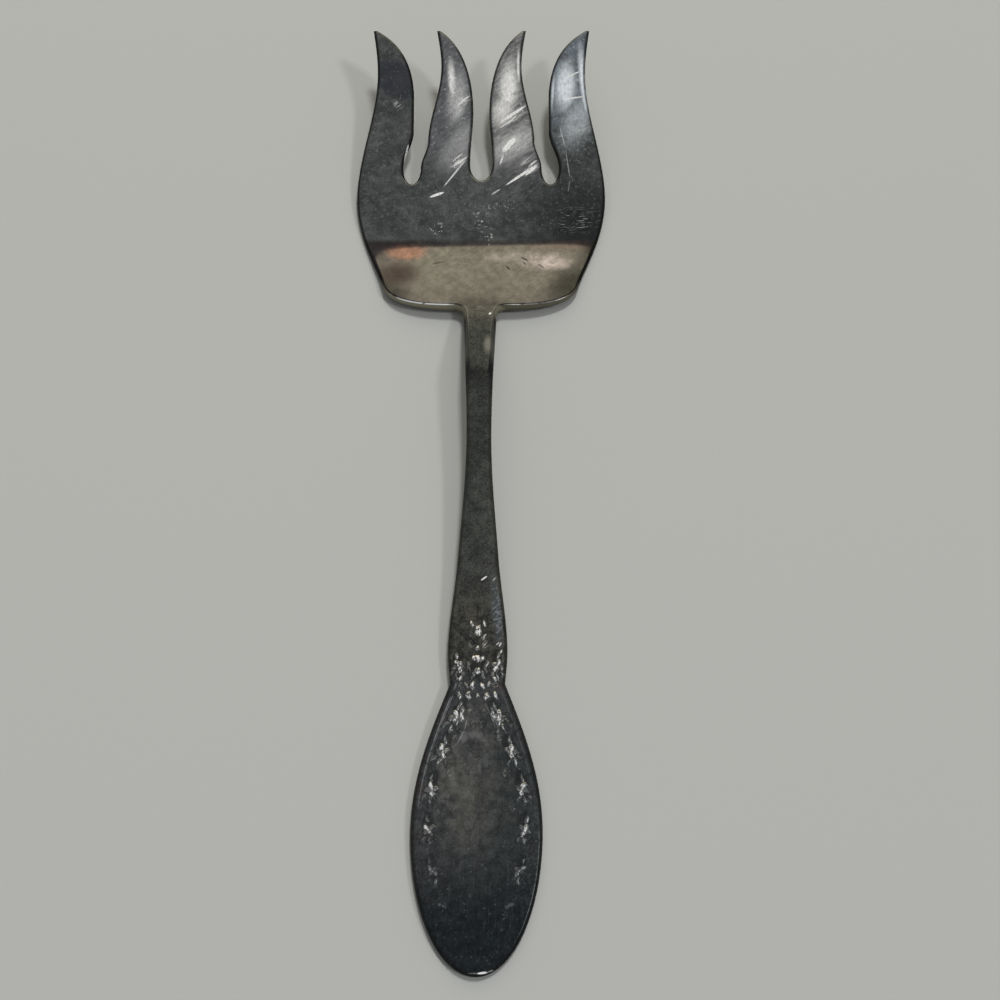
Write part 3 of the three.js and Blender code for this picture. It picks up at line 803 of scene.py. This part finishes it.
def head_grids(plan):
    """Face and underside over one plan grid of the right half, and both again over the left half. The heel's
    corners drop and the tines are crowned, both by the square of the nearness to the edge."""
    x, y = plan[..., 0], plan[..., 1]
    edge = np.minimum(*(edge_distance(line, x, y) for line in head_edges))
    edge[edge < 1e-3] = 0
    sideways = eased((x - HEEL_DROP_START) / HEEL_DROP_SPAN)
    drop = HEEL_DROP * sideways * eased(1 - (y - HEEL_Y) / HEEL_DROP_LENGTH)
    drop = drop * (1 - np.clip(edge / HEEL_DROP_REACH, 0, 1)) ** 2
    crown = TINE_CROWN * eased((y - TINE_CROWN_START) / TINE_CROWN_LENGTH)
    crown = crown * (1 - np.clip(edge / TINE_CROWN_REACH, 0, 1)) ** 2
    top = head_top(y) - drop - crown
    across = np.clip((x - heel_flat_x) / (HEEL_HALF_WIDTH - heel_flat_x), 0, 1)
    ramp = np.clip((y - HEEL_Y) / HEEL_RAMP, 0, 1)
    depth = (STEM_THICKNESS - BLADE_THICKNESS) * (1 - across) * (1 - ramp) ** 2
    under = np.maximum(top - sheet_thickness(y) - depth, 0)
    fall = edge_fall(edge, head_edge_reach(y)) * (top - under) / 2
    plain = np.zeros_like(x)
    face = np.stack([x, y, top - fall, edge, plain, plain + 1], -1)
    back = np.stack([x, y, under + fall, edge, plain, plain], -1)[:, ::-1]
    return [face, back, face[:, ::-1] * OTHER_SIDE, back[:, ::-1] * OTHER_SIDE]


blade_grids = head_grids(blade)
face_neck = blade_grids[0][0, :NECK_COLUMNS]
under_neck = blade_grids[1][0, ::-1][:NECK_COLUMNS]
neck_ring = np.concatenate([
    face_neck[::-1] * OTHER_SIDE, face_neck[1:], under_neck[-2::-1], under_neck[1:-1] * OTHER_SIDE,
])
tine_grids = [*head_grids(inner_tine), *head_grids(outer_tine)]
head = metal_piece("head_blade", [*blade_grids, *tine_grids, cap(neck_ring)], [HEEL_Y])

BLADE_TARNISH = (0.252, 0.264, 0.250, 1)
BLADE_DARK = (0.150, 0.157, 0.152, 1)
BLADE_BLACK = (0.060, 0.063, 0.063, 1)
HEEL_TARNISH = (0.132, 0.129, 0.122, 1)
HEEL_BROWN = (0.090, 0.085, 0.081, 1)
HEEL_CORNER_SHADE = (0.036, 0.036, 0.033, 1)
HEEL_MAUVE = (0.085, 0.074, 0.076, 1)
HEEL_RED = (0.120, 0.085, 0.075, 1)
HEEL_WALL_SHADE = (0.150, 0.141, 0.100, 1)
RUBBED_MAUVE = (0.45, 0.46, 0.48, 1)
RUBBED_SILVER = (0.74, 0.73, 0.72, 1)
BLUE_SHEEN = (0.43, 0.51, 0.57, 1)
BLUE_WHITE = (0.84, 0.91, 0.97, 1)
OILY_BLUE = (0.090, 0.094, 0.118, 1)
BARE_COPPER = (0.225, 0.130, 0.103, 1)
PURPLE_BROWN = (0.048, 0.038, 0.037, 1)
PINK_WEAR_AND_HIGHLIGHT = (0.330, 0.300, 0.325, 1)
RUB_ANGLE = 0.63

head_metal, place, (edge, _, face) = start_metal("head_tarnish")
along = place.part("Y")
across = place.part("X")
blotches = place.clouds(6.5, 4.0)
mottle = place.clouds(2.0, 5.0)
grain = place.clouds(0.35, 3.0)
rubbing = place.clouds(0.5, 4.0, 7.0, RUB_ANGLE).ramp(0.35, 0.65)
streaks = place.clouds(0.3, 3.0, 14.0, 1.5).ramp(0.35, 0.65)
hairs = place.clouds(0.22, 1.0, 16.0, 0.7).ramp(0.44, 0.58)

# Tarnish of the blade, browner and warmer towards the heel
colour = (blotches.ramp(0.38, 0.62) * 0.6 + mottle.ramp(0.35, 0.65) * 0.4).paint(BLADE_DARK, BLADE_TARNISH)
colour = (across.ramp(2, 24) * along.ramp(82, 60) * 0.9).paint(colour, BLADE_BLACK)
smudges = place.clouds(4.0, 3.0, 2.2, 0.55)
heel_colour = (smudges.ramp(0.62, 0.38) * 0.3 + along.ramp(46, 37) * 0.4).paint(HEEL_TARNISH, HEEL_BROWN)
heel_colour = (along.ramp(50, 53) * (0.2 + abs(across).ramp(8, 20) * 0.35)).paint(heel_colour, HEEL_RED)
# Painted shade: darker beside the neck, and in the heel's corners where the face turns from the window
heel_colour = (along.ramp(39, 35) * abs(across).ramp(10, 3) * 0.62).paint(heel_colour, HEEL_CORNER_SHADE)
heel_colour = (across.ramp(-12, -24) * 0.7).paint(heel_colour, HEEL_MAUVE)
corner_shade = place.patches([
    (-23.0, 39.0, 11.0, 7.5, -0.7, 0.9), (22.0, 40.8, 13.0, 8.5, 0.75, 1.0),
    (26.5, 49.0, 9.0, 6.0, 1.2, 0.85),
])
heel_colour = corner_shade.paint(heel_colour, HEEL_CORNER_SHADE)
# Pale pink patches, partly worn plating and partly a painted lamp highlight
pale = place.patches([(15.2, 48.0, 8.5, 3.4, -0.05, 1.0), (9.0, 49.4, 11.0, 2.4, 0.0, 0.35)])
pale = pale * (0.45 + smudges.ramp(0.38, 0.6) * 0.35 + mottle.ramp(0.4, 0.6) * 0.2)
heel_colour = pale.paint(heel_colour, PINK_WEAR_AND_HIGHLIGHT)
stained = (place.patch(-19.0, 44.4, 6.5, 4.2) + mottle * 1.2).ramp(0.6, 1.3)
heel_colour = (stained * 0.9).paint(heel_colour, PURPLE_BROWN)
coppery = (place.patch(-17.6, 50.8, 5.5, 2.8) + mottle * 0.9).ramp(0.3, 1.1)
heel_colour = (coppery * 0.9).paint(heel_colour, BARE_COPPER)
heel_colour = heel_colour.scaled(
    0.63 + grain.ramp(0.25, 0.75) * 0.26 + rubbing * 0.12 + mottle.ramp(0.3, 0.7) * 0.36
)
colour = colour.scaled(0.6 + grain.ramp(0.25, 0.75) * 0.5 + mottle.ramp(0.3, 0.7) * 0.3)
colour = (along.ramp(54.7, 53.2) * face).paint(colour, heel_colour)

# Wear of the tines: dull on the left one, silvery in the middle, blue on the right one
tine = along.ramp(66, 84) * face
second = across.ramp(-15.5, -13) * across.ramp(0.5, -0.5)
third = across.ramp(-0.5, 0.5) * across.ramp(15.5, 14.5)
fourth = across.ramp(14.5, 15.5)
colour = (tine * second * (0.15 + rubbing * 0.55)).paint(colour, RUBBED_MAUVE)
colour = (tine * third * (0.15 + rubbing * 0.7)).paint(colour, RUBBED_SILVER)
sheen = along.ramp(76, 92) * fourth * face * (0.25 + mottle.ramp(0.35, 0.6) * 0.6)
colour = sheen.paint(colour, BLUE_SHEEN)
oily = (place.patch(-20.5, 95.5, 8.0, 5.2, -0.5) + mottle * 0.9).ramp(0.5, 0.75)
oily = oily * across.ramp(-15.5, -16.5) * face
colour = (oily * 0.75).paint(colour, OILY_BLUE)
milky = place.patches([(7.0, 66.0, 13.0, 6.5, 0.6, 1.0)]) * rubbing * face
colour = (milky * 0.12).paint(colour, RUBBED_SILVER)
# Bright patches on the tines: partly worn bare silver, partly painted highlights along their edges
pits = place.clouds(0.9, 4.0).ramp(0.36, 0.50)
worn_and_highlit = face * (0.53 + streaks * 0.3 + pits * 0.2) * place.patches([
    (6.6, 93.5, 10.0, 3.4, 1.5, 1.0), (9.15, 99.0, 6.0, 0.75, 1.57, 1.0),
    (5.4, 88.5, 7.0, 3.6, 1.2, 0.8), (20.6, 94.0, 9.0, 3.8, 1.5, 1.0),
    (25.2, 95.0, 12.5, 1.7, 1.68, 1.15), (17.4, 92.5, 7.0, 0.7, 1.5, 0.8),
    (-7.2, 95.5, 7.5, 1.5, 1.65, 1.0), (-6.0, 91.0, 10.0, 3.6, 1.5, 0.55),
    (7.6, 79.0, 10.0, 5.0, RUB_ANGLE, 0.5), (-5.5, 79.0, 11.0, 4.6, 1.0, 0.35),
    (23.0, 85.0, 10.0, 5.0, 1.3, 0.45),
])
colour = worn_and_highlit.paint(colour, fourth.paint(BARE_SILVER_AND_GLINT, BLUE_WHITE))

# Scratches, scuffs of many hairs and specks that show bare metal, and a painted glint on the left tine's barb
scratches = place.strokes([
    (3.9, 84.3, 11.3, 89.5, 0.85, 1.0), (4.2, 83.2, 8.8, 86.5, 0.5, 0.8),
    (5.4, 68.5, 14.2, 74.7, 0.75, 1.0), (10.4, 71.2, 13.8, 74.1, 0.7, 1.0),
    (11.2, 73.4, 13.6, 75.5, 0.5, 0.8), (2.4, 66.4, 4.8, 68.0, 0.45, 0.7),
    (-7.0, 73.4, -3.1, 76.4, 0.6, 0.9), (-7.2, 74.8, -4.2, 77.2, 0.45, 0.7),
    (5.0, 77.2, 7.4, 79.8, 1.6, 1.0), (6.0, 78.6, 8.5, 81.0, 1.7, 1.0),
    (4.5, 74.0, 5.4, 76.8, 0.6, 0.8), (-9.4, 68.0, -3.3, 76.0, 0.5, 0.8),
    (-12.6, 65.7, -8.6, 67.2, 0.8, 1.0), (-6.3, 88.7, -2.6, 92.0, 0.6, 0.8),
    (19.0, 84.2, 20.4, 78.3, 0.32, 0.5), (20.4, 78.3, 21.5, 70.3, 0.32, 0.4),
    (21.5, 70.3, 20.9, 67.0, 0.3, 0.3), (20.0, 95.7, 24.7, 98.0, 0.45, 0.9),
    (19.5, 90.6, 25.5, 91.6, 0.5, 0.9), (-17.6, 79.8, -18.8, 74.6, 0.45, 0.9),
])
scuffed = place.patches([
    (7.0, 85.6, 5.0, 1.5, RUB_ANGLE, 0.9), (7.2, 79.4, 4.0, 2.4, 0.9, 0.9),
    (12.0, 72.9, 3.4, 1.4, RUB_ANGLE, 1.0), (10.8, 75.0, 3.6, 1.0, RUB_ANGLE, 0.7),
    (-5.4, 74.9, 4.0, 1.6, 0.75, 0.9), (-4.5, 90.2, 3.4, 1.8, 0.75, 0.8),
    (-5.4, 87.4, 2.4, 1.0, 0.75, 0.7), (-20.6, 89.5, 2.0, 1.2, -0.8, 0.7),
    (24.6, 83.0, 3.4, 2.2, 0.6, 0.5),
])
speckled = place.patches([
    (0.8, 58.2, 7.5, 2.6, 1.9, 1.0), (-10.5, 57.5, 4.0, 2.4, 0.3, 0.8), (4.0, 63.0, 9.0, 2.5, 0.2, 0.5),
])
dusty = along.ramp(54.5, 57) * 0.14
speckled = speckled.most(dusty.most(tine * across.ramp(-15, -12) * 0.4) * edge.ramp(0.6, 1.2))
specks = place.clouds(0.75, 3.0).ramp(0.57, 0.65) * speckled
fine_lines = place.clouds(0.16, 1.0, 16.0, 0.05).ramp(0.63, 0.72)
fine_lines = fine_lines * place.patches([(22.6, 59.8, 8.0, 5.0, 0.0, 0.6)])
ragged = 0.6 + grain.ramp(0.36, 0.52) * 0.4
bare = (scratches * ragged).most(scuffed * hairs * 0.8).most(specks * 0.75).most(fine_lines) * face
dark_marks = place.strokes([
    (9.4, 49.4, 11.3, 48.0, 0.5, 1.0), (5.9, 46.8, 7.0, 45.4, 0.5, 1.0),
    (13.4, 47.3, 15.0, 46.0, 0.45, 0.8), (10.0, 48.0, 10.6, 46.9, 0.4, 0.9),
    (-11.6, 47.2, -8.2, 48.0, 0.45, 0.7),
])
colour = (dark_marks * face * 0.9).paint(colour, DIRT_AND_EDGE_SHADE)

# The heel's rounded wall is painted olive and matte, a painted reflection of the lit table, with painted
# shade on its right. The edges are dark, partly with dirt and partly with painted shade for the rounding's
# dark reflection, and the heel's rim carries a painted glint
wall = edge.ramp(0.6, 0.3) * along.ramp(HEEL_Y + 9, HEEL_Y + 3)
colour = (edge.ramp(0.85, 0.35) * (0.5 + mottle * 0.7)).paint(colour, DIRT_AND_EDGE_SHADE)
colour = wall.paint(colour, across.ramp(-4, 8).paint(WALL_OLIVE_REFLECTION, HEEL_WALL_SHADE))
rim = edge.ramp(0.25, 0.38) * edge.ramp(0.66, 0.5) * along.ramp(HEEL_Y + 4.5, HEEL_Y + 1.5)
rim = rim * (0.3 + across.ramp(4, -6) * 0.7) * abs(across).ramp(5.5, 8) * mottle.ramp(0.35, 0.5)
colour = rim.paint(colour, BARE_SILVER_AND_GLINT)
colour = bare.paint(colour, BARE_SILVER_AND_GLINT)
roughness = 0.055 + mottle * 0.02 + tine * across.ramp(-15, 0) * 0.14
scuffs_and_glints = bare.most(worn_and_highlit).most(rim * 0.8).most(wall * 0.6)
finish_metal(head_metal, colour, scuffs_and_glints, roughness, grain, 0.0015)
head.data.materials.append(head_metal)
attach(head, "root")
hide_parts("fork_head")

# Table, light and camera
# A plain pale table top under a broad warm window beyond the tines and two soft suns that cast the shadows.
# Two small lamps show only in the metal. The camera looks down over the handle's end.

TABLE_SIZE = 6.0
TABLE_GREY = (0.438, 0.447, 0.430, 1)
bpy.ops.mesh.primitive_plane_add(size=TABLE_SIZE, location=(0, 0, 0))
table = bpy.context.object
table.name = "table"
table_paint = bpy.data.materials.new("table_paint")
table_paint.use_nodes = True
table_shader = table_paint.node_tree.nodes["Principled BSDF"]
table_shader.inputs["Base Color"].default_value = TABLE_GREY
table_shader.inputs["Roughness"].default_value = 0.7
table_shader.inputs["Specular IOR Level"].default_value = 0.2
table.data.materials.append(table_paint)


def lamp(name, kind, direction, distance, colour, energy, roll=0.0, **settings):
    """A lamp at this distance in this direction from the fork's middle, turned to face it and rolled."""
    light = bpy.data.lights.new(name, kind)
    light.color = colour
    light.energy = energy
    for setting, value in settings.items():
        setattr(light, setting, value)
    holder = bpy.data.objects.new(name, light)
    towards = np.array(direction, float) / np.linalg.norm(direction)
    holder.location = towards * distance
    holder.rotation_euler = holder.location.to_track_quat("Z", "Y").to_euler()
    holder.rotation_euler.rotate_axis("Z", roll)
    bpy.context.scene.collection.objects.link(holder)
    return holder


WINDOW_WARM = (1.0, 0.9, 0.66)
WINDOW_ROLL = math.radians(-10)
LAMP_WHITE = (1.0, 1.0, 1.0)
lamp("window", "AREA", direction=(0, 0.84, 0.54), distance=1.5, colour=WINDOW_WARM, energy=6.8,
     roll=WINDOW_ROLL, shape="RECTANGLE", size=1.6, size_y=0.95)
high_sun = lamp("high_sun", "SUN", direction=(0.2, 0.6, 1.0), distance=2.0,
                colour=LAMP_WHITE, energy=1.55, angle=math.radians(10))
high_sun.visible_glossy = False
right_sun = lamp("right_sun", "SUN", direction=(0.85, -0.2, 1.0), distance=2.0,
                 colour=LAMP_WHITE, energy=0.70, angle=math.radians(8))
right_sun.visible_glossy = False
right_lamp = lamp("right_lamp", "AREA", direction=(0.8, -0.25, 1.0), distance=1.0,
                  colour=LAMP_WHITE, energy=0.65, shape="SQUARE", size=0.3)
right_lamp.visible_diffuse = False
near_lamp = lamp("near_lamp", "AREA", direction=(0.05, -0.6, 0.8), distance=1.0,
                 colour=LAMP_WHITE, energy=0.5, shape="SQUARE", size=0.25)
near_lamp.visible_diffuse = False

ROOM_WHITE = (0.97, 0.98, 1.0, 1)
ROOM_STRENGTH = 0.3
room = bpy.data.worlds.new("room")
room.use_nodes = True
room_light = room.node_tree.nodes["Background"]
room_light.inputs["Color"].default_value = ROOM_WHITE
room_light.inputs["Strength"].default_value = ROOM_STRENGTH
bpy.context.scene.world = room

SENSOR_WIDTH = 36.0
HALF_VIEW = math.radians(23.0)
CAMERA_TILT = math.radians(22.31)
camera_lens = bpy.data.cameras.new("camera")
camera_lens.sensor_width = SENSOR_WIDTH
camera_lens.lens = SENSOR_WIDTH / 2 / math.tan(HALF_VIEW)
camera_lens.clip_start = 0.01
camera = bpy.data.objects.new("camera", camera_lens)
camera.location = (0.00456, -0.10903, 0.23669)
camera.rotation_euler = (CAMERA_TILT, 0, 0)
bpy.context.scene.collection.objects.link(camera)
bpy.context.scene.camera = camera
bpy.context.scene.view_settings.view_transform = "Standard"
